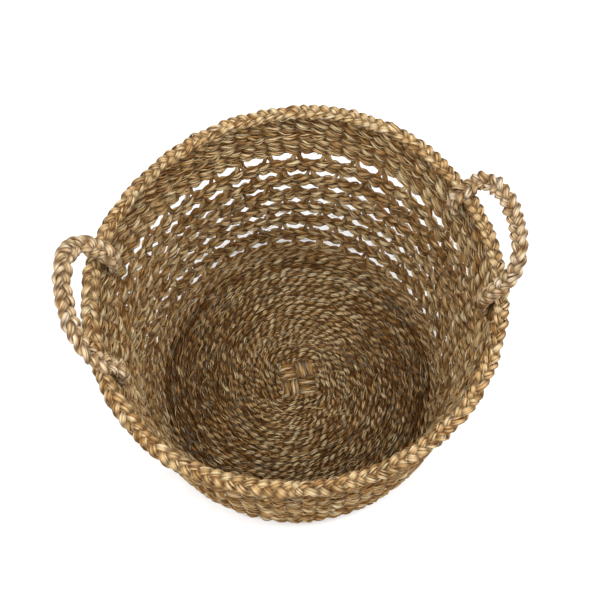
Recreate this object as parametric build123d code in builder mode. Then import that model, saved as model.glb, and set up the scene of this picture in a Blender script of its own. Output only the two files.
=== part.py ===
from build123d import *
import math
import os

os.makedirs("parts", exist_ok=True)

# Twined seagrass basket with two plaited handles, +Z up, origin under the middle of the base.
# Driving dimensions, millimetres and degrees

# floor
floor_radius = 157.0
floor_bottom = 0.4
floor_top = 8.0
floor_rows = 22
cross_half = 20.5
cross_strands = 5
cross_strand_thickness = 5.4

# upright strands (stakes) that the twining is worked round
stake_count = 72
stake_diameter = 3.4
channel_diameter = 3.8
stake_level = 4.2
added_stake_start = 60.0
pinch_offset = 2.3

# wall: radius of its middle surface at a list of heights
wall_profile = [
    (11.0, 165.4), (18.0, 167.6), (29.0, 170.6), (45.0, 173.8), (65.0, 176.0), (95.0, 177.0),
    (130.0, 176.8), (175.0, 176.3), (205.0, 177.0), (230.0, 179.2), (255.0, 183.0), (287.0, 189.5),
]
wall_half_thickness = 3.5
row_bulge = 0.7
lower_band_top = 20.0
opening_rows = 7
opening_height = 13.7
open_band_height = 19.15
open_band_rows = 2
upper_band_rows = 7
wall_top = 286.5

# rim plait, lying flat on the wall's top edge
rim_radius = 190.5
rim_height = 292.3
rim_periods = 39
plait_half_width = 6.2
plait_half_depth = 3.6
strand_diameter = 3.6

# handles: path of one handle on the +X side, from the tucked end to the top of the loop
handle_path = [
    (166.6, 51.0, 267.0), (165.2, 50.5, 282.0), (165.8, 50.7, 297.0), (173.1, 52.9, 309.0),
    (183.5, 52.0, 320.5), (193.5, 45.5, 333.0), (200.5, 30.5, 343.0), (203.5, 12.0, 346.8),
]
handle_period = 32.0
handle_steps = 9
loop_start_height = 305.0
flex_gap = 4.0
lean_upper = 37.0

row_pitch = opening_height + open_band_height
half_turn = 180.0 / stake_count


def wall_radius(z):
    """Radius of the wall's middle surface at height z."""
    for (z0, r0), (z1, r1) in zip(wall_profile, wall_profile[1:]):
        if z <= z1:
            return r0 + (r1 - r0) * (z - z0) / (z1 - z0)
    return wall_profile[-1][1]


def polar(radius, degrees, z):
    """Point at a radius, bearing and height."""
    turn = math.radians(degrees)
    return Vector(radius * math.cos(turn), radius * math.sin(turn), z)


def swept_rod(points, diameter):
    """Round rod along straight runs, mitred where one run meets the next."""
    runs = [b - a for a, b in zip(points, points[1:])]
    ways = [run.normalized() for run in runs]
    pieces = []
    for i, (run, way) in enumerate(zip(runs, ways)):
        base = Plane(points[i] - way * diameter, z_dir=way)
        piece = Solid.make_cylinder(diameter / 2, run.length + 2 * diameter, base)
        before = way + ways[i - 1] if i > 0 else way
        after = way + ways[i + 1] if i + 1 < len(ways) else way
        piece = piece.split(Plane(points[i], z_dir=before), keep=Keep.TOP)
        pieces.append(piece.split(Plane(points[i + 1], z_dir=after), keep=Keep.BOTTOM))
    return pieces[0].fuse(*pieces[1:])


def around(solid, count):
    """Copies of a solid, spaced evenly about Z."""
    return [solid.rotate(Axis.Z, 360.0 * i / count) for i in range(count)]


def stake_route(side):
    """Route of the wall stake beside bearing 0, on the + or - side: it joins its neighbour
    under each band and spreads again to its own place above the next one down."""
    home = side * half_turn
    points = [polar(floor_radius, home, stake_level), polar(159.0, home, stake_level)]
    points += [polar(163.0, home, 6.4), polar(165.4, home, 11.0)]
    z = lower_band_top
    for row in range(opening_rows):
        points.append(polar(wall_radius(z), home, z))
        z += opening_height
        post = 0.0 if row % 2 == 0 else 2 * side * half_turn
        pinch = math.degrees(pinch_offset / wall_radius(z))
        lean = side if row % 2 == 0 else -side
        points.append(polar(wall_radius(z), post + lean * pinch, z))
        z += open_band_height
    points.append(polar(wall_radius(z), home, z))
    points.append(polar(wall_radius(270.0), home, 270.0))
    points.append(polar(wall_radius(wall_top), home, wall_top - 1.0))
    return points


def floor_rods(diameter, inner, past_edge):
    """Radial rods through the floor mat, every third one starting at the middle."""
    rods = []
    for i in range(stake_count):
        start = inner if i % 3 == 0 else added_stake_start
        rod = Solid.make_cylinder(diameter / 2, floor_radius + past_edge - start, Plane.YZ)
        rod = rod.translate(Vector(start, 0, stake_level))
        rods.append(rod.rotate(Axis.Z, half_turn * (2 * i + 1)))
    return rods


def band_outline(z_low, z_high, rows):
    """Section of one wall band: flat top and bottom, one bulge per twined row on each face."""
    levels = [z_low + (z_high - z_low) * i / rows for i in range(rows + 1)]
    with BuildSketch(Plane.XZ) as section:
        with BuildLine():
            for a, b in zip(levels, levels[1:]):
                middle = wall_radius((a + b) / 2) + wall_half_thickness + row_bulge
                ThreePointArc(
                    (wall_radius(a) + wall_half_thickness, a), (middle, (a + b) / 2),
                    (wall_radius(b) + wall_half_thickness, b))
            Line((wall_radius(z_high) + wall_half_thickness, z_high),
                 (wall_radius(z_high) - wall_half_thickness, z_high))
            for a, b in zip(levels, levels[1:]):
                middle = wall_radius((a + b) / 2) - wall_half_thickness - row_bulge
                ThreePointArc(
                    (wall_radius(a) - wall_half_thickness, a), (middle, (a + b) / 2),
                    (wall_radius(b) - wall_half_thickness, b))
            Line((wall_radius(z_low) - wall_half_thickness, z_low),
                 (wall_radius(z_low) + wall_half_thickness, z_low))
        make_face()
    return section.sketch


def plait_points(frames, strand):
    """Centreline of one of three plait strands, from frames of (point, across, up, phase)."""
    points = []
    for point, across, up, phase in frames:
        turn = phase + strand * 2 * math.pi / 3
        side = plait_half_width * math.sin(turn)
        rise = plait_half_depth * math.sin(2 * turn)
        points.append(point + across * side + up * rise)
    return points


# Wall stakes: 72 uprights, in 36 pairs
with BuildPart() as wall_stakes:
    add(around(swept_rod(stake_route(1), stake_diameter), stake_count // 2))
    add(around(swept_rod(stake_route(-1), stake_diameter), stake_count // 2))
wall_stakes.part.label = "wall_stakes"
export_step(wall_stakes.part, "parts/wall_stakes.step")

# Room for the stakes inside the twining, a little wider than the stakes
wall_channels = around(swept_rod(stake_route(1), channel_diameter), stake_count // 2)
wall_channels += around(swept_rod(stake_route(-1), channel_diameter), stake_count // 2)


# Lower wall band: it turns up from the floor and is what the basket stands on
with BuildPart() as lower_wall_band:
    with BuildSketch(Plane.XZ):
        with BuildLine():
            Line((floor_radius, 0), (160.5, 0))
            ThreePointArc((160.5, 0), (166.4, 2.4), (169.0, 8.0))
            ThreePointArc((169.0, 8.0), (170.8, 11.1), (169.9, 14.0))
            ThreePointArc((169.9, 14.0), (171.8, 17.2), (171.7, lower_band_top))
            Line((171.7, lower_band_top), (164.7, lower_band_top))
            ThreePointArc((164.7, lower_band_top), (163.0, 17.2), (162.8, 14.0))
            ThreePointArc((162.8, 14.0), (159.4, 11.6), (floor_radius, 8.0))
            Line((floor_radius, 8.0), (floor_radius, 0))
        make_face()
    revolve(axis=Axis.Z)
    add(wall_channels, mode=Mode.SUBTRACT)
lower_wall_band.part.label = "lower_wall_band"
export_step(lower_wall_band.part, "parts/lower_wall_band.step")

# Open wall bands: two twined rows each, between the seven rows of openings
for number in range(1, opening_rows):
    z_band = lower_band_top + opening_height + (number - 1) * row_pitch
    with BuildPart() as open_band:
        add(band_outline(z_band, z_band + open_band_height, open_band_rows))
        revolve(axis=Axis.Z)
        add(wall_channels, mode=Mode.SUBTRACT)
    open_band.part.label = f"open_band_{number}"
    export_step(open_band.part, f"parts/open_band_{number}.step")

# Upper wall band: seven dense rows under the rim
with BuildPart() as upper_wall_band:
    z_upper = lower_band_top + opening_rows * opening_height + (opening_rows - 1) * open_band_height
    add(band_outline(z_upper, wall_top, upper_band_rows))
    revolve(axis=Axis.Z)
    add(wall_channels, mode=Mode.SUBTRACT)
upper_wall_band.part.label = "upper_wall_band"
export_step(upper_wall_band.part, "parts/upper_wall_band.step")


# Floor twining: one round mat, 22 rows on each side, with a square hole for the cross start
row_width = (floor_radius - 18.0) / floor_rows
row_edges = [18.0 + row_width * i for i in range(floor_rows + 1)]
with BuildPart() as floor_twining:
    with BuildSketch(Plane.XZ):
        with BuildLine():
            for a, b in zip(row_edges, row_edges[1:]):
                low = floor_bottom + row_bulge
                ThreePointArc((a, low), ((a + b) / 2, floor_bottom), (b, low))
            Line((floor_radius, floor_bottom + row_bulge), (floor_radius, floor_top - row_bulge))
            for a, b in zip(row_edges, row_edges[1:]):
                high = floor_top - row_bulge
                ThreePointArc((a, high), ((a + b) / 2, floor_top), (b, high))
            Line((18.0, floor_top - row_bulge), (18.0, floor_bottom + row_bulge))
        make_face()
    revolve(axis=Axis.Z)
    Box(2 * cross_half, 2 * cross_half, 40, mode=Mode.SUBTRACT)
    add(floor_rods(channel_diameter, 17.0, 1.0), mode=Mode.SUBTRACT)
floor_twining.part.label = "floor_twining"
export_step(floor_twining.part, "parts/floor_twining.step")

# Floor stakes: 24 that start at the cross, and 48 pushed in further out
with BuildPart() as floor_stakes:
    add(floor_rods(stake_diameter, 17.0, 0.0))
    Box(2 * cross_half, 2 * cross_half, 40, mode=Mode.SUBTRACT)
floor_stakes.part.label = "floor_stakes"
export_step(floor_stakes.part, "parts/floor_stakes.step")


def cross_group(corner_x, corner_y, lengthwise):
    """Five flat strands side by side that fill one quarter of the cross start."""
    pitch = (cross_half - 0.2) / cross_strands
    strands = []
    for i in range(cross_strands):
        across = 0.1 + pitch * (i + 0.5)
        along = 0.1 + (cross_half - 0.2) / 2
        x, y = (along, across) if lengthwise else (across, along)
        size_x, size_y = (cross_half - 0.2, pitch - 0.1) if lengthwise else (pitch - 0.1, cross_half - 0.2)
        strand = Solid.make_box(size_x, size_y, cross_strand_thickness)
        strand = strand.fillet(1.0, strand.edges())
        centre = Vector(corner_x * x - size_x / 2, corner_y * y - size_y / 2, floor_bottom + 1.1)
        strands.append(strand.translate(centre))
    return strands


# Cross start: four square groups of strands laid as a pinwheel in the middle of the floor
with BuildPart() as cross_start_lengthwise:
    add(cross_group(-1, 1, True))
    add(cross_group(1, -1, True))
cross_start_lengthwise.part.label = "cross_start_lengthwise"
export_step(cross_start_lengthwise.part, "parts/cross_start_lengthwise.step")

with BuildPart() as cross_start_crosswise:
    add(cross_group(1, 1, False))
    add(cross_group(-1, -1, False))
cross_start_crosswise.part.label = "cross_start_crosswise"
export_step(cross_start_crosswise.part, "parts/cross_start_crosswise.step")


# Rim plait: three strands, each one turn round the rim with its ends butted together
rim_steps = rim_periods * 6
rim_frames = []
for i in range(rim_steps + 1):
    bearing = 0.05 + (360.0 - 0.1) * i / rim_steps
    across = polar(1.0, bearing, 0)
    phase = 2 * math.pi * (rim_periods * i / rim_steps + 1 / 12)
    rim_frames.append((polar(rim_radius, bearing, rim_height), across, Vector(0, 0, 1), phase))
for strand in range(3):
    rim_strand = swept_rod(plait_points(rim_frames, strand), strand_diameter)
    rim_strand.label = f"rim_plait_strand_{strand + 1}"
    export_step(rim_strand, f"parts/rim_plait_strand_{strand + 1}.step")


# Handles: the plait's path, then its strands cut into tucked ends and a loop
handle_line = Spline(*[Vector(*p) for p in handle_path],
                     *[Vector(x, -y, z) for x, y, z in reversed(handle_path)])


def handle_frames(start, end):
    """Plait frames along the handle's path between two lengths."""
    steps = max(4, round((end - start) / handle_period * handle_steps))
    frames = []
    for i in range(steps + 1):
        length = start + (end - start) * i / steps
        point = handle_line.position_at(length, position_mode=PositionMode.LENGTH)
        tangent = handle_line.tangent_at(length, position_mode=PositionMode.LENGTH)
        share = min(1.0, max(0.0, (point.Z - 286.0) / 24.0))
        lean = math.radians(lean_upper * share)
        outward = Vector(point.X, point.Y, 0).normalized()
        face = outward * math.cos(lean) - Vector(0, 0, 1) * math.sin(lean)
        across = face.cross(tangent).normalized()
        up = tangent.cross(across).normalized()
        frames.append((point, across, up, 2 * math.pi * length / handle_period))
    return frames


def handle_strands(start, end, strand):
    """One plait strand of the +X handle between two lengths along its path."""
    return swept_rod(plait_points(handle_frames(start, end), strand), strand_diameter)


handle_length = handle_line.length
loop_start = next(
    step / 4 for step in range(400)
    if handle_line.position_at(step / 4, position_mode=PositionMode.LENGTH).Z >= loop_start_height)
foot_end = loop_start - flex_gap / 2
loop_end = handle_length - loop_start - flex_gap / 2
for side, turn in (("right", 0), ("left", 180)):
    for strand in range(3):
        loop = handle_strands(loop_start + flex_gap / 2, loop_end, strand).rotate(Axis.Z, turn)
        loop.label = f"{side}_handle_strand_{strand + 1}"
        export_step(loop, f"parts/{side}_handle_strand_{strand + 1}.step")
    with BuildPart() as handle_ends:
        for strand in range(3):
            add(handle_strands(0, foot_end, strand).rotate(Axis.Z, turn))
            add(handle_strands(handle_length - foot_end, handle_length, strand).rotate(Axis.Z, turn))
    handle_ends.part.label = f"{side}_handle_tucked_ends"
    export_step(handle_ends.part, f"parts/{side}_handle_tucked_ends.step")
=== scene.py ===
import math

import bpy
import numpy as np
from mathutils import Matrix, Vector


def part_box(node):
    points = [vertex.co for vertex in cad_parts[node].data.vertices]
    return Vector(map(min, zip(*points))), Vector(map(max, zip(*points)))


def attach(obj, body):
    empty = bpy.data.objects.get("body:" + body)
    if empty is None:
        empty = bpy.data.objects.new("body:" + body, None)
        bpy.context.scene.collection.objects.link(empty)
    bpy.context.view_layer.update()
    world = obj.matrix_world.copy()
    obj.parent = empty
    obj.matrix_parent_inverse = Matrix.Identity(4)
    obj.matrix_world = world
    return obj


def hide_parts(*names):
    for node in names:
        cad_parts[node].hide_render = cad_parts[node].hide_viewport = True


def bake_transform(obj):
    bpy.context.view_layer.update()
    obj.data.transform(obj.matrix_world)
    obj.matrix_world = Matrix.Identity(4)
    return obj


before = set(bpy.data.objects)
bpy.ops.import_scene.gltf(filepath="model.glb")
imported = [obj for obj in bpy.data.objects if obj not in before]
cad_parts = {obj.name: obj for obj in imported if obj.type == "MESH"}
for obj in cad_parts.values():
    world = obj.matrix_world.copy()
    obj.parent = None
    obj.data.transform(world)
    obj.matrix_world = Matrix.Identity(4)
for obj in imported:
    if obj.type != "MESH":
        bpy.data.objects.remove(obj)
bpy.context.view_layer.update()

# Sizes in metres. The wall's middle, as (height, radius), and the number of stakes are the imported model's
STAKES = 72
HALF_STEP = math.pi / STAKES
WALL = np.array([
    (0.0110, 0.1654), (0.0180, 0.1676), (0.0290, 0.1706), (0.0450, 0.1738),
    (0.0650, 0.1760), (0.0950, 0.1770), (0.1300, 0.1768), (0.1750, 0.1763),
    (0.2050, 0.1770), (0.2300, 0.1792), (0.2550, 0.1830), (0.2870, 0.1895)])
PINCH = 0.0017          # half the distance between a post's two stakes where they meet
FOOT = 0.30             # how much closer than evenly spaced they are at its foot, as a share
CLOSED_BELOW = 0.0062   # how far under a band they have already met
FLOOR_MIDDLE = 0.0048   # height of the middle of the floor's thickness
FLOOR_ROWS = 22
# The floor's stitches grow in number outwards: up to a radius, stitches in a row and points to each
FLOOR_STAGES = ((0.046, 24, 10), (0.098, 48, 8), (math.inf, 72, 7))
CROSS_EDGE = 0.0195     # where the floor's first row begins
LOWER_PITCH = 0.0052    # from one of the lowest wall rows to the next
# The rows that turn up from the floor: radius, height, outward and upward parts of the direction across
LOWER_ROWS = (
    (0.1594, 0.0048, 0.80, 0.60), (0.1640, 0.0078, 0.45, 0.89), (0.1660, 0.0125, 0.32, 0.95),
    (0.1676, 0.0173, 0.27, 0.96), (0.1690, 0.0221, 0.25, 0.97))
ROW_FINE = 7            # points to a stitch of a wall row
BLADE_SHARE = {3: 0.54, 4: 0.46}   # a blade's share of a row strand's width, by the number of blades
LOOSE = 0.16            # how much a strand's blades wander and vary
RIM_PERIODS = 39        # turns of each strand of the rim's plait
HANDLE_PERIOD = 0.031   # length of one turn in a handle's plait
# One half of a handle's rope, from the tuck inside the wall to the middle of the loop
HALF_HANDLE = [
    (0.1782, 0.0561, 0.2570), (0.1730, 0.0545, 0.2660), (0.1682, 0.0530, 0.2770), (0.1652, 0.0520, 0.2880),
    (0.1662, 0.0523, 0.2985), (0.1731, 0.0544, 0.3090), (0.1835, 0.0535, 0.3205), (0.1935, 0.0470, 0.3330),
    (0.2005, 0.0315, 0.3430), (0.2035, 0.0125, 0.3468)]

_, floor_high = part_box("floor_twining")
lower_low, lower_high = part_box("lower_wall_band")
upper_low, upper_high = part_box("upper_wall_band")
rim_low, rim_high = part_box("rim_plait_strand_1")
open_bands = [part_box(f"open_band_{i}") for i in range(1, 7)]
FLOOR_EDGE = floor_high.x
RIM_HEIGHT = (rim_low.z + rim_high.z) / 2
RIM_RADIUS = rim_high.x - 0.0080
ROW = (FLOOR_EDGE - CROSS_EDGE) / FLOOR_ROWS

# How the rim departs from round and from level, as waves round it: (waves to a turn, cosine, sine).
# Here, and in the painted shade and light of the floor's rows and the painted light on the rim, bearings are
# counted from CAMERA_TURN radians before X, which is to the right in the main view
CAMERA_TURN = 0.219
ROUND_WAVES = ((1, -0.028, -0.004), (2, 0.015, 0.024), (3, -0.009, -0.020))
LEVEL_WAVES = ((1, 0.0025, 0.0016), (2, 0.0032, -0.0024))


def noise(u, count, rng):
    """Smooth random values along a closed run, u from 0 to 1, about -1 to 1."""
    values = rng.normal(0, 0.5, count)
    x = u * count
    i = np.floor(x).astype(int)
    f = x - i
    f = f * f * (3 - 2 * f)
    return values[i % count] * (1 - f) + values[(i + 1) % count] * f


def unit(v):
    return v / np.maximum(np.linalg.norm(v, axis=-1, keepdims=True), 1e-12)


def ramp(value, start, length):
    """0 up to start, then rising to 1 over length."""
    return np.clip((value - start) / length, 0, 1)


def bearings(count):
    return np.arange(count) / count * 2 * math.pi


def polar(bearing, outward, upward):
    """Points or directions at bearings round the basket, from their outward and upward parts."""
    outward, upward = np.broadcast_to(outward, bearing.shape), np.broadcast_to(upward, bearing.shape)
    return np.stack([outward * np.cos(bearing), outward * np.sin(bearing), upward], -1)


def waves(bearing, terms):
    return sum(cosine * np.cos(count * bearing) + sine * np.sin(count * bearing)
               for count, cosine, sine in terms)


def swelling(bearing, middle, sharpness):
    """1 at the bearing middle, falling smoothly to almost nothing away from it."""
    return np.exp(sharpness * (np.cos(bearing - middle) - 1))


def warp(points):
    """The hand-made basket isn't quite round or level: more so towards the rim."""
    x, y, z = points[:, 0], points[:, 1], points[:, 2]
    share = np.clip(z / RIM_HEIGHT, 0, 1.2)
    bearing = np.arctan2(y, x) + CAMERA_TURN
    # Besides the waves: smaller at the left and larger at the front towards the rim, and smaller at the
    # front right towards the floor
    grow = 1 + share * (-0.002 + waves(bearing, ROUND_WAVES)
                        - 0.044 * swelling(bearing, 3.50, 8)
                        + 0.024 * share ** 3 * swelling(bearing, 4.63, 3.6))
    grow = grow - 0.014 * np.clip(1 - share, 0, 1) * swelling(bearing, 5.24, 6)
    lift = share ** 2 * waves(bearing, LEVEL_WAVES)
    return np.stack([x * grow, y * grow, z + lift], -1)


class Weave:
    """Collects strands into one mesh, with the attributes that the materials read: fibre is the place along
    and round a strand, tint its tone with painted shade and light in places, and bare runs from 0 where it
    is hidden to 1 where it is in view; the materials paint shade where bare is low."""

    def __init__(self):
        self.points, self.faces, self.fibre, self.tint, self.bare = [], [], [], [], []
        self.count = 0

    def strand(self, centre, across, width, depth, tint, bare, sides, closed=False):
        """A strand along centre: width is its full size along across, depth its full size square to that."""
        n = len(centre)
        if closed:
            tangent = np.roll(centre, -1, 0) - np.roll(centre, 1, 0)
        else:
            tangent = np.gradient(centre, axis=0)
        tangent = unit(tangent)
        across = unit(across - tangent * (across * tangent).sum(-1, keepdims=True))
        up = np.cross(tangent, across)
        steps = np.linalg.norm(np.diff(centre, axis=0), axis=-1)
        along = np.concatenate([[0], np.cumsum(steps)])
        turn = np.linspace(0, 2 * math.pi, sides, endpoint=False)
        cos, sin = np.cos(turn), np.sin(turn)
        a = cos[None, :] * np.broadcast_to(np.asarray(width, float), n)[:, None] / 2
        b = sin[None, :] * np.broadcast_to(np.asarray(depth, float), n)[:, None] / 2
        ring = centre[:, None, :] + across[:, None, :] * a[..., None] + up[:, None, :] * b[..., None]
        index = self.count + np.arange(n * sides).reshape(n, sides)
        after = np.roll(index, -1, 0) if closed else index[1:]
        here = index if closed else index[:-1]
        quads = np.stack([here, np.roll(here, -1, 1), np.roll(after, -1, 1), after], -1).reshape(-1, 4)
        # Each strand reads its own stretch of the fibre pattern
        start = float(self.count % 977) * 0.37
        self.points.append(ring.reshape(-1, 3))
        self.faces.append(quads)
        fibre = np.stack(np.broadcast_arrays((along + start)[:, None], cos[None, :], sin[None, :]), -1)
        self.fibre.append(fibre.reshape(-1, 3))
        self.tint.append(np.repeat(np.broadcast_to(tint, n), sides))
        self.bare.append(np.repeat(np.broadcast_to(bare, n), sides))
        self.count += n * sides
        if not closed:
            for end, row in ((0, index[0][::-1]), (-1, index[-1])):
                tip = self.count
                self.points.append(centre[end][None])
                self.fibre.append(fibre[end, :1])
                self.tint.append(np.broadcast_to(tint, n)[end][None])
                # A tip counts as hidden, so the material paints shade there
                self.bare.append(np.zeros(1))
                fan = [row, np.roll(row, -1), np.full(sides, tip), np.full(sides, -1)]
                self.faces.append(np.stack(fan, -1))
                self.count += 1

    def bundle(self, rng, centre, across, up, width, depth, tint, bare, turns, blades=3, share=0.66,
               sides=4, closed=False):
        """One strand made of several thin blades twisted loosely together."""
        n = len(centre)
        u = np.linspace(0, 1, n, endpoint=False)
        beats = max(4, n // 9)
        own = rng.normal(0, 0.20, blades)
        for blade in range(blades):
            angle = 2 * math.pi * (blade / blades + turns * u) + 0.7 * noise(u, beats, rng)
            cos, sin = np.cos(angle), np.sin(angle)
            reach = (0.56 - share / 2) * (1 + 2 * LOOSE * noise(u, beats, rng))
            middle = centre + across * (reach * width * cos)[:, None] + up * (reach * depth * sin)[:, None]
            flat = up * cos[:, None] - across * sin[:, None]
            wide = share * width * (1 + 2 * LOOSE * noise(u, beats, rng))
            thick = 0.85 * share * depth * (1 + LOOSE * noise(u, beats, rng))
            shade = tint + own[blade] + 0.14 * noise(u, beats, rng)
            self.strand(middle, flat, wide, thick, shade, bare, sides, closed=closed)

    def build(self, name, material, body, slot, *nodes):
        points = warp(np.concatenate(self.points))
        faces = np.concatenate(self.faces)
        sizes = np.where(faces[:, 3] < 0, 3, 4)
        loops = faces.reshape(-1)
        loops = loops[loops >= 0]
        mesh = bpy.data.meshes.new(name)
        mesh.vertices.add(len(points))
        mesh.vertices.foreach_set("co", points.astype(np.float32).reshape(-1))
        mesh.loops.add(len(loops))
        mesh.loops.foreach_set("vertex_index", loops.astype(np.int32))
        mesh.polygons.add(len(sizes))
        starts = np.concatenate([[0], np.cumsum(sizes)[:-1]])
        mesh.polygons.foreach_set("loop_start", starts.astype(np.int32))
        mesh.polygons.foreach_set("use_smooth", np.ones(len(sizes), bool))
        mesh.update(calc_edges=True)
        mesh.validate()
        fibre = mesh.attributes.new("fibre", "FLOAT_VECTOR", "POINT")
        fibre.data.foreach_set("vector", np.concatenate(self.fibre).astype(np.float32).reshape(-1))
        for key, values in (("tint", self.tint), ("bare", self.bare)):
            layer = mesh.attributes.new(key, "FLOAT", "POINT")
            layer.data.foreach_set("value", np.concatenate(values).astype(np.float32))
        mesh.materials.append(material)
        piece = bpy.data.objects.new(name, mesh)
        bpy.context.scene.collection.objects.link(piece)
        if body:
            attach(piece, body)
        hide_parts(*nodes)
        return piece


def srgb(r, g, b):
    return tuple(((c / 255 + 0.055) / 1.055) ** 2.4 for c in (r, g, b))


REDDISH = srgb(172, 118, 62)


# Materials: dry seagrass, its colour mixed from each strand's own tint and long fibres, with painted shade
# where a strand goes under another
def seagrass(name, dark, middle, light, green, painted_gap_shade, roughness, grain):
    """green is the colour of some patches; gap is painted shade, mixed in where a strand goes under another
    and bare is low.
    grain is how fine the fibres are across a strand."""
    material = bpy.data.materials.new(name)
    material.use_nodes = True
    nodes, links = material.node_tree.nodes, material.node_tree.links
    nodes.clear()
    out = nodes.new("ShaderNodeOutputMaterial")
    shader = nodes.new("ShaderNodeBsdfPrincipled")
    links.new(shader.outputs[0], out.inputs[0])

    def attribute(key, output):
        node = nodes.new("ShaderNodeAttribute")
        node.attribute_name = key
        return node.outputs[output]

    def feed(socket, value):
        """Sets an input to a number or a colour, or links another node's output to it."""
        if isinstance(value, (int, float)):
            socket.default_value = value
        elif isinstance(value, tuple):
            socket.default_value = (*value, 1)
        else:
            links.new(value, socket)

    def maths(kind, *values):
        node = nodes.new("ShaderNodeMath")
        node.operation = kind
        for socket, value in zip(node.inputs, values):
            feed(socket, value)
        return node.outputs[0]

    def blend(factor, a, b):
        node = nodes.new("ShaderNodeMix")
        node.data_type = "RGBA"
        for socket, value in ((node.inputs[0], factor), (node.inputs[6], a), (node.inputs[7], b)):
            feed(socket, value)
        return node.outputs[2]

    fibre = attribute("fibre", "Vector")
    tint = attribute("tint", "Fac")
    bare = attribute("bare", "Fac")

    def streaks(along, round_it, detail):
        """Noise drawn out along the fibres; along and round_it are its scales in the two directions."""
        mapping = nodes.new("ShaderNodeMapping")
        mapping.inputs["Scale"].default_value = (along, round_it, round_it)
        links.new(fibre, mapping.inputs["Vector"])
        node = nodes.new("ShaderNodeTexNoise")
        node.inputs["Scale"].default_value = 1.0
        node.inputs["Detail"].default_value = detail
        links.new(mapping.outputs[0], node.inputs["Vector"])
        return node.outputs["Fac"]

    def patches(along, round_it, low, high, most):
        """0 where the noise is under low, rising to most where it is over high."""
        node = nodes.new("ShaderNodeMapRange")
        node.inputs["From Min"].default_value = low
        node.inputs["From Max"].default_value = high
        node.inputs["To Max"].default_value = most
        links.new(streaks(along, round_it, 1.0), node.inputs["Value"])
        return node.outputs[0]

    fine = streaks(30.0, grain, 4.0)
    shade = maths("MULTIPLY_ADD", fine, 0.9, tint)
    shade = maths("MULTIPLY_ADD", streaks(60.0, 0.5, 2.0), 0.45, shade)
    tones = nodes.new("ShaderNodeValToRGB")
    links.new(maths("MULTIPLY", shade, 0.63), tones.inputs[0])
    steps = tones.color_ramp.elements
    steps[0].position, steps[0].color = 0.50, (*dark, 1)
    steps[1].position, steps[1].color = 0.98, (*light, 1)
    steps.new(0.74).color = (*middle, 1)
    colour = blend(patches(24.0, 0.6, 0.54, 0.66, 0.6), tones.outputs[0], green)
    colour = blend(patches(31.0, 0.8, 0.55, 0.68, 0.5), colour, REDDISH)
    # Painted shade: the gap colour where bare is low, in the crevices between strands
    colour = blend(bare, painted_gap_shade, colour)
    links.new(colour, shader.inputs["Base Color"])
    links.new(maths("MULTIPLY_ADD", fine, 0.3, roughness), shader.inputs["Roughness"])
    shader.inputs["Specular IOR Level"].default_value = 0.06
    bump = nodes.new("ShaderNodeBump")
    bump.inputs["Strength"].default_value = 0.55
    bump.inputs["Distance"].default_value = 0.0006
    links.new(streaks(9.0, 1.5 * grain, 4.0), bump.inputs["Height"])
    links.new(bump.outputs[0], shader.inputs["Normal"])
    return material


wall_grass = seagrass(
    "seagrass_wall", dark=srgb(110, 74, 36), middle=srgb(176, 138, 86), light=srgb(220, 198, 154),
    green=srgb(180, 170, 140), painted_gap_shade=srgb(80, 50, 24), roughness=0.55, grain=2.8)
floor_grass = seagrass(
    "seagrass_floor", dark=srgb(90, 55, 21), middle=srgb(174, 134, 80), light=srgb(224, 202, 158),
    green=srgb(184, 176, 148), painted_gap_shade=srgb(38, 21, 7), roughness=0.6, grain=4.0)
rim_grass = seagrass(
    "seagrass_rim", dark=srgb(122, 86, 46), middle=srgb(201, 166, 115), light=srgb(214, 193, 155),
    green=srgb(192, 180, 144), painted_gap_shade=srgb(78, 50, 22), roughness=0.6, grain=4.6)
handle_grass = seagrass(
    "seagrass_handle", dark=srgb(138, 105, 66), middle=srgb(208, 179, 138), light=srgb(222, 205, 179),
    green=srgb(192, 182, 148), painted_gap_shade=srgb(88, 58, 28), roughness=0.6, grain=4.6)


def wall_radius(z):
    return np.interp(z, WALL[:, 0], WALL[:, 1])


def wall_slope(z):
    """Outward and upward parts of the direction up the wall."""
    slope = (wall_radius(z + 0.004) - wall_radius(z - 0.004)) / 0.008
    length = np.sqrt(1 + slope ** 2)
    return slope / length, 1 / length


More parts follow.
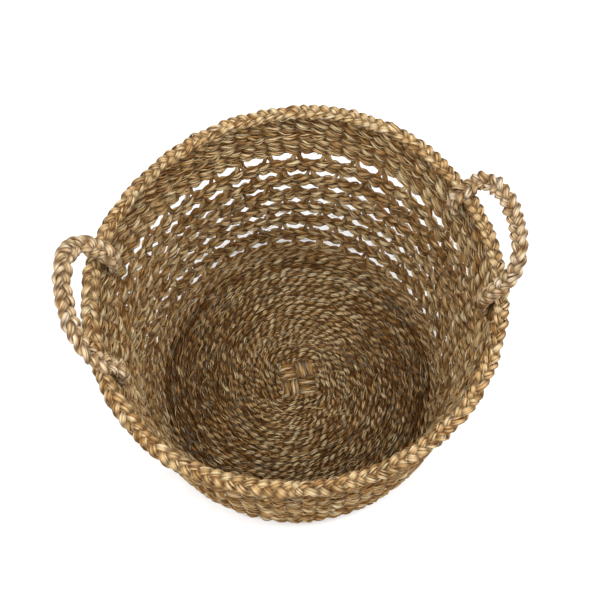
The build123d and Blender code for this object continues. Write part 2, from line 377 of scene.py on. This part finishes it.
def twined_row(weave, rng, radius, height, rise_r, rise_z, pitch, stitches, phase, fine=ROW_FINE,
               swing=0.0019, thick=0.0036, slant=0.40, share=0.84, blades=3, painted_light_and_shade=0.0):
    """One twined row round Z: two strands that swap from front to back between stitches.
    radius is one number, or one for each of the row's points; rise is the direction across the row.
    The strands stand out to either face by swing and go across the row by slant, a share of pitch.
    Its last argument paints shade on the row towards the left and right of the main view, and a little light
    towards the front and back."""
    count = stitches * fine
    theta = bearings(count)
    u = theta / (2 * math.pi)
    across = polar(theta, rise_r, rise_z)
    normal = polar(theta, rise_z, -rise_r)
    middle = polar(theta, radius, height)
    middle = middle + across * (0.0006 * noise(u, max(4, stitches // 4), rng))[:, None]
    stagger = 0.55 * noise(u, stitches, rng)
    phase = phase + rng.uniform(-1.6, 1.6) / stitches
    for strand in range(2):
        turn = stitches * (theta - phase) / 2 + strand * math.pi + stagger
        front = np.cos(turn)
        width = pitch * share * (0.66 + 0.34 * front ** 2) * (1 + 0.22 * noise(u, stitches, rng))
        depth = thick * (0.80 + 0.20 * front ** 2) * (1 + 0.16 * noise(u, stitches, rng))
        stand = swing * np.sign(front) * np.abs(front) ** 0.8 * (1 + 0.25 * noise(u, stitches, rng))
        cross = pitch * slant * np.sin(turn) * (1 + 0.3 * noise(u, stitches, rng))
        centre = middle + normal * stand[:, None] + across * cross[:, None]
        tint = 0.5 + 0.30 * noise(u, max(6, stitches // 2), rng) + 0.20 * noise(u, 2 * stitches, rng)
        # Painted shade: darker where the strand lies on the outside of the wall or under the floor, and,
        # from the last argument, darker at the floor's left and right and lighter at its front and back
        tint = tint - 0.20 * np.clip(front, 0, 1) + painted_light_and_shade * (0.13 - 0.48 * np.cos(theta + CAMERA_TURN) ** 2)
        # Low where the strand passes between the faces, where the material paints shade
        bare = np.clip(0.15 + 1.5 * np.abs(front), 0, 1)
        weave.bundle(rng, centre, across, normal, width, depth, tint, bare, round(stitches * 0.30) + strand,
                     blades=blades, share=BLADE_SHARE[blades], sides=3, closed=True)
    # A core fills the gaps between the two strands, painted dark: painted shade
    core = slice(None, None, 2)
    weave.strand(middle[core], across[core], pitch * 1.10, 0.0022, 0.25, 0.35, sides=6, closed=True)
    # Loose fibres lying along both faces of the row
    rng = np.random.default_rng(round(1e5 * float(np.mean(radius)) + 1e7 * float(np.mean(height))))
    for fibre in range(stitches):
        size = int(rng.integers(4, 9)) * fine // ROW_FINE + 1
        here = (int(rng.integers(count)) + np.arange(size)) % count
        # One fibre in three lies on the outside of the wall or the underside of the floor
        face = (swing + 0.46 * thick) * (1 if fibre % 3 == 0 else -1) * rng.uniform(0.85, 1.1)
        drift = pitch * (rng.uniform(-0.4, 0.4) + rng.normal(0, 0.5) * np.linspace(-0.5, 0.5, size))
        arch = np.sin(np.linspace(0, math.pi, size)) * 0.5 + 0.5
        centre = middle[here] + normal[here] * (face * arch)[:, None] + across[here] * drift[:, None]
        wide, tint = rng.uniform(0.0005, 0.0011), 0.55 + 0.45 * rng.normal()
        weave.strand(centre, across[here], wide, 0.0005, tint, 1.0, sides=3)


# Floor: rows of twining from the cross start to the wall, round more and more stakes
floor_parts = {"inner": Weave(), "middle": Weave(), "outer": Weave()}
rng = np.random.default_rng(11)
for row in range(FLOOR_ROWS):
    inner = CROSS_EDGE + ROW * (row + 0.5)
    stitches, fine = next(stage[1:] for stage in FLOOR_STAGES if inner < stage[0])
    # The first seven rows go from square to round
    square = 0.17 * max(0.0, 1 - row / 7)
    radius = inner * (1 + square * np.sin(2 * bearings(stitches * fine)) ** 2)
    part = "inner" if row < 11 else "middle" if row < 17 else "outer"
    # Painted shade at the floor's left and right and painted light at its front and back, growing from a
    # radius of 40 mm to 110 mm
    twined_row(floor_parts[part], rng, radius, FLOOR_MIDDLE, 1.0, 0.0, ROW, stitches,
               rng.uniform(0, 2 * math.pi / stitches), fine=fine, swing=0.0017, thick=0.0038, slant=0.28,
               share=0.98, painted_light_and_shade=ramp(inner, 0.04, 0.07))
for part, weave in floor_parts.items():
    weave.build(f"floor_twining_{part}", floor_grass, "basket", "floor_seagrass", "floor_twining")

# Wall rows
lower = Weave()
rng = np.random.default_rng(12)
for radius, height, rise_r, rise_z in LOWER_ROWS:
    twined_row(lower, rng, radius, height, rise_r, rise_z, LOWER_PITCH, STAKES, HALF_STEP)
lower.build("lower_wall_rows", wall_grass, "basket", "wall_seagrass", "lower_wall_band")


def band_rows(name, node, rows, seed, made, share=0.80):
    """rows fit in the node's band; made are the numbers of those to make, counted up from its foot."""
    weave = Weave()
    rng = np.random.default_rng(seed)
    low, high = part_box(node)
    pitch = (high.z - low.z) / rows
    for row in made:
        z = low.z + pitch * (row + 0.5)
        slant = (0.30, 0.20, -0.24)[rng.integers(3)]
        twined_row(weave, rng, wall_radius(z), z, *wall_slope(z), pitch, STAKES, HALF_STEP, slant=slant,
                   share=share, blades=4, swing=0.0024, thick=0.0046)
    weave.build(name, wall_grass, "basket", "wall_seagrass", node)


for number in range(1, 7):
    band_rows(f"open_band_rows_{number}", f"open_band_{number}", 2, 20 + number, range(2))
# One row more than the band has, up to the rim
band_rows("upper_wall_rows_lower", "upper_wall_band", 7, 13, range(4), share=0.94)
band_rows("upper_wall_rows_upper", "upper_wall_band", 7, 17, range(4, 8), share=0.94)

# Stakes: in each row of openings a stake leans to one neighbour and meets it under the band above,
# and inside that band it turns to its other neighbour
stakes = Weave()
bands = [(lower_low, lower_high), *open_bands, (upper_low, upper_high)]
rng = np.random.default_rng(14)
for i in range(STAKES):
    # Knots are (height, bearing from the middle of the stake's pair)
    side = 1 if i % 2 == 0 else -1
    group = 2 * math.pi * (i // 2) / (STAKES // 2)
    home = side * HALF_STEP
    knots = [(0.0080, home), (0.0140, home), (lower_high.z + 0.002, home * (1 - FOOT))]
    for row, (low, high) in enumerate(bands[1:]):
        last = row == len(open_bands)
        post = 0.0 if row % 2 == 0 else 2 * side * HALF_STEP
        lean = side if row % 2 == 0 else -side
        pinch = lean * PINCH / wall_radius(low.z)
        knots += [(low.z - CLOSED_BELOW, post + 1.15 * pinch), (low.z, post + pinch),
                  (low.z + 0.008, home) if last else (high.z, home + FOOT * lean * HALF_STEP)]
    knots.append((upper_high.z, home))
    knots = np.array(knots)
    z = np.linspace(knots[0, 0], knots[-1, 0], 88)
    bearing = np.interp(z, knots[:, 0], knots[:, 1])
    for _ in range(2):
        bearing[1:-1] = (bearing[:-2] + 2 * bearing[1:-1] + bearing[2:]) / 4
    bearing = bearing + group
    u = np.linspace(0, 0.99, len(z))
    # A stake is thinner inside a band, and painted darker there: painted shade
    clear = np.min([np.maximum(low.z + 0.002 - z, z - high.z + 0.002) for low, high in bands], axis=0)
    bare = ramp(clear, 0, 0.003)
    centre = polar(bearing, wall_radius(z) + 0.0005 * noise(u, 14, rng), z)
    out = polar(bearing, 1, 0)
    across = unit(np.cross(np.gradient(centre, axis=0), out))
    width = (0.0036 + 0.0028 * bare) * (1 + 0.2 * noise(u, 20, rng))
    tint = 0.36 + 0.12 * rng.normal() + 0.2 * noise(u, 20, rng)
    stakes.bundle(rng, centre, across, out, width, 0.0022 + 0.0022 * bare, tint, 0.3 + 0.7 * bare, turns=5.0)
stakes.build("wall_stake_strands", wall_grass, "basket", "wall_seagrass", "wall_stakes")


# Plaits: three soft strands, each a bundle of long blades
def plait_strand(weave, rng, point, across, up, phase, half_width, half_depth, width, depth,
                 taper=1.0, pale=0.0, blades=8):
    """One strand of a three-strand plait, given the plait's middle, frame, taper and painted light, as
    paleness, at each point.
    half_width and half_depth are how far the strand's middle swings, width and depth its own size."""
    u = np.linspace(0, 1, len(point), endpoint=False)
    beats = max(6, len(u) // 14)
    side = half_width * taper * np.sin(phase) * (1 + 0.18 * noise(u, beats, rng))
    rise = half_depth * taper * np.sin(2 * phase) * (1 + 0.18 * noise(u, beats, rng))
    centre = point + across * side[:, None] + up * rise[:, None]
    tangent = unit(np.gradient(centre, axis=0))
    tilt = 0.30 * np.cos(phase) + 0.35 * noise(u, beats, rng)
    flat = unit(across * np.cos(tilt)[:, None] + up * np.sin(tilt)[:, None])
    flat = unit(flat - tangent * (flat * tangent).sum(-1, keepdims=True))
    lift = np.cross(tangent, flat)
    # Low where the strand passes under the others, where the material paints shade
    bare = np.clip(0.20 + 0.85 * np.sin(2 * phase) ** 2, 0, 1)
    own = 0.5 + 0.10 * rng.normal()
    width = width * taper * (1 + 0.16 * noise(u, beats, rng))
    for blade in range(blades):
        angle = 2 * math.pi * blade / blades + phase * 0.55 + 0.8 * noise(u, beats, rng)
        cos, sin = np.cos(angle), np.sin(angle)
        reach = 1 + 0.25 * noise(u, beats, rng)
        middle = (centre + flat * (0.36 * reach * width * cos)[:, None]
                  + lift * (0.34 * reach * depth * sin)[:, None])
        turned = lift * (cos * depth / 0.004)[:, None] - flat * (sin * 2.0)[:, None]
        size = 0.36 * width * (1 + 0.40 * noise(u, beats, rng))
        thick = 0.30 * depth * (1 + 0.25 * noise(u, beats, rng))
        # pale is painted light; own and the noise are the blade's own tone
        tint = own + pale + 0.17 * rng.normal() + 0.22 * noise(u, 2 * beats, rng)
        weave.strand(middle, turned, size, thick, tint, bare, sides=4)


# Rim: 22 points to a turn; its ends are 0.002 radians apart
count = RIM_PERIODS * 22
bearing = np.linspace(0.001, 2 * math.pi - 0.001, count)
out, upright = polar(bearing, 1, 0), polar(bearing, 0, 1)
rng = np.random.default_rng(39)
u = np.linspace(0, 1, count)
sway, heave, pull = 0.0011 * noise(u, 50, rng), 0.0009 * noise(u, 60, rng), 0.8 * noise(u, 90, rng)
point = polar(bearing, RIM_RADIUS + sway, RIM_HEIGHT + heave)
for strand in range(3):
    weave = Weave()
    rng = np.random.default_rng(40 + strand)
    phase = RIM_PERIODS * bearing + pull + strand * 2 * math.pi / 3
    # Painted light: the rim's strands are painted lighter towards the back of the main view
    plait_strand(weave, rng, point, out, upright, phase,
                 half_width=0.0046, half_depth=0.0016, width=0.0080, depth=0.0048,
                 pale=0.13 * np.clip(np.sin(bearing + CAMERA_TURN), 0, 1) ** 2)
    weave.build(f"rim_plait_{strand + 1}", rim_grass, "basket", "plait_seagrass",
                f"rim_plait_strand_{strand + 1}")


# Handles: plaited rope from the tuck inside the wall, over the rim, round the loop and back
def smooth_path(knots, count):
    """Points evenly spaced along a smooth curve through the knots."""
    knots = np.array(knots, float)
    padded = np.concatenate([2 * knots[:1] - knots[1:2], knots, 2 * knots[-1:] - knots[-2:-1]])
    points = []
    for i in range(1, len(padded) - 2):
        a, b, c, d = padded[i - 1:i + 3]
        t = np.linspace(0, 1, 24, endpoint=False)[:, None]
        points.append(0.5 * (2 * b + (c - a) * t + (2 * a - 5 * b + 4 * c - d) * t ** 2
                             + (3 * b - a - 3 * c + d) * t ** 3))
    points = np.concatenate(points + [knots[-1:]])
    length = np.concatenate([[0], np.cumsum(np.linalg.norm(np.diff(points, axis=0), axis=-1))])
    even = np.linspace(0, length[-1], count)
    return np.stack([np.interp(even, length, points[:, k]) for k in range(3)], -1), length[-1]


def handle(side, swing, skew, drift):
    """A handle's rope. The two aren't tied in quite square: swing turns one a little round the basket, in
    degrees, and above the rim skew moves it outwards at one end and inwards at the other, drift along."""
    knots = HALF_HANDLE + [(x, -y, z) for x, y, z in reversed(HALF_HANDLE)]
    path, length = smooth_path(knots, 360)
    loop = ramp(path[:, 2], 0.303, 0.030)
    path[:, 0] += loop * (-0.0015 + skew * path[:, 1])
    path[:, 1] += loop * drift
    tangent = unit(np.gradient(path, axis=0))
    # From the rim up, the plait's broad side leans over
    lean = np.radians(37.0) * ramp(path[:, 2], 0.286, 0.024)
    out = unit(path * np.array([1.0, 1, 0]))
    face = out * np.cos(lean)[:, None] - np.array([0, 0, 1.0]) * np.sin(lean)[:, None]
    across = unit(np.cross(face, tangent))
    up = np.cross(tangent, across)
    heading = math.radians(swing) + (0 if side == "right" else math.pi)
    cos, sin = math.cos(heading), math.sin(heading)
    turn = np.array([[cos, sin, 0], [-sin, cos, 0], [0, 0, 1]])
    path, across, up = path @ turn, across @ turn, up @ turn
    rng = np.random.default_rng(55 if side == "right" else 56)
    u = np.linspace(0, 1, len(path))
    path = path + across * (0.0008 * noise(u, 26, rng))[:, None] + up * (0.0008 * noise(u, 26, rng))[:, None]
    pull = 0.5 * noise(u, 20, rng)
    # Each end tapers to 45 percent over its last 30 mm
    taper = np.interp(length * np.minimum(u, 1 - u), (0, 0.030), (0.45, 1))
    for strand in range(3):
        weave = Weave()
        rng = np.random.default_rng(60 + strand + (0 if side == "right" else 10))
        phase = u * (length / HANDLE_PERIOD * 2 * math.pi) + pull + strand * 2 * math.pi / 3
        plait_strand(weave, rng, path, across, up, phase,
                     half_width=0.0053, half_depth=0.0017, width=0.0088, depth=0.0052, taper=taper, blades=9)
        piece = weave.build(f"{side}_handle_rope_{strand + 1}", handle_grass, None, "plait_seagrass",
                            f"{side}_handle_strand_{strand + 1}", f"{side}_handle_tucked_ends")
        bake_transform(piece)


handle("right", swing=1.85, skew=0.0, drift=0.003)
handle("left", swing=-1.85, skew=-0.06, drift=-0.004)

# Cross start: four groups of five flat strands laid as a pinwheel
rng = np.random.default_rng(15)
along = np.linspace(-0.0005, 0.0212, 22)
bow = 0.0009 * np.sin(np.clip(along / 0.0205, 0, 1) * math.pi)
upright = np.tile(np.array([0, 0, 1.0]), (len(along), 1))
for key, corners in (("lengthwise", ((-1, 1), (1, -1))), ("crosswise", ((1, 1), (-1, -1)))):
    weave = Weave()
    flat = np.tile(np.array([0, 1.0, 0] if key == "lengthwise" else [1.0, 0, 0]), (len(along), 1))
    for cx, cy in corners:
        for i in range(5):
            beside = 0.0001 + 0.00406 * (i + 0.5) + 0.0003 * noise(np.linspace(0, 0.99, len(along)), 5, rng)
            x, y = (along, beside) if key == "lengthwise" else (beside, along)
            centre = np.stack([cx * x, cy * y, 0.0046 + bow], -1)
            # The strands are painted darker towards their ends, where they bow down: painted shade
            weave.bundle(rng, centre, flat, upright, 0.0046, 0.0040, 0.46 + 0.10 * rng.normal(),
                         np.clip(0.25 + bow * 800, 0, 1), turns=0.5)
    weave.build(f"cross_start_{key}_strands", floor_grass, "basket", "floor_seagrass", f"cross_start_{key}")

# Stakes inside the floor: every third one starts at the cross, the others are added further out
rng = np.random.default_rng(16)
floor_stakes = Weave()
for i in range(STAKES):
    bearing = np.full(24, HALF_STEP * (2 * i + 1))
    reach = np.linspace(0.0200 if i % 3 == 0 else 0.0600, FLOOR_EDGE + 0.002, len(bearing))
    centre, upright = polar(bearing, reach, FLOOR_MIDDLE), polar(bearing, 0, 1)
    aside = polar(bearing + math.pi / 2, 1, 0)
    tint = 0.30 + 0.08 * rng.normal()
    # Painted dark all along, as shade inside the floor: painted shade
    floor_stakes.bundle(rng, centre, aside, upright, 0.0028, 0.0018, tint, 0.35, turns=2.0)
floor_stakes.build("floor_stake_strands", floor_grass, "basket", "floor_seagrass", "floor_stakes")

# Studio: pale floor, soft light from above and all round
floor_mesh = bpy.data.meshes.new("studio_floor")
floor_mesh.from_pydata([(-4, -4, 0), (4, -4, 0), (4, 4, 0), (-4, 4, 0)], [], [(0, 1, 2, 3)])
studio_floor = bpy.data.objects.new("studio_floor", floor_mesh)
bpy.context.scene.collection.objects.link(studio_floor)
pale = bpy.data.materials.new("studio_pale")
pale.use_nodes = True
surface = pale.node_tree.nodes["Principled BSDF"].inputs
surface["Base Color"].default_value = (0.93, 0.93, 0.93, 1)
surface["Roughness"].default_value = 0.9
surface["Specular IOR Level"].default_value = 0.1
floor_mesh.materials.append(pale)

world = bpy.data.worlds.new("studio")
world.use_nodes = True
sky = world.node_tree.nodes["Background"].inputs
sky["Color"].default_value = (1.0, 1.0, 1.0, 1)
sky["Strength"].default_value = 0.74
bpy.context.scene.world = world


def softbox(name, place, size, power):
    light = bpy.data.lights.new(name, "AREA")
    light.energy = power
    light.size = size
    lamp = bpy.data.objects.new(name, light)
    lamp.location = place
    lamp.rotation_euler = (Vector((0, 0, 0.1)) - Vector(place)).to_track_quat("-Z", "Y").to_euler()
    bpy.context.scene.collection.objects.link(lamp)


softbox("left", (-1.15, -0.25, 2.1), 0.8, 22)
softbox("right", (1.15, -0.25, 2.1), 0.8, 22)
softbox("front", (0.0, -0.7, 2.5), 0.8, 20)
bpy.context.scene.view_settings.view_transform = "Standard"

# Camera: above and in front, its right turned 12.55 degrees from the line between the handles
tilt, turn, roll = math.radians(68.0), math.radians(12.55), math.radians(1.8)
distance = 1.2845
back = Matrix.Rotation(-turn, 3, "Z") @ Vector((0, -math.cos(tilt), math.sin(tilt)))
aim = Matrix.Rotation(-turn, 3, "Z") @ Vector((0.0, 0.1067, 0)) + Vector((0, 0, floor_high.z))
right = Matrix.Rotation(-turn, 3, "Z") @ Vector((1, 0, 0))
above = back.cross(right)
camera_right = right * math.cos(roll) + above * math.sin(roll)
camera_up = above * math.cos(roll) - right * math.sin(roll)
lens = bpy.data.cameras.new("camera")
lens.lens = 63.0
lens.sensor_width = 36.0
lens.shift_y = -0.0087
camera = bpy.data.objects.new("camera", lens)
placed = Matrix((camera_right, camera_up, back)).transposed().to_4x4()
placed.translation = aim + back * distance
camera.matrix_world = placed
bpy.context.scene.collection.objects.link(camera)
bpy.context.scene.camera = camera
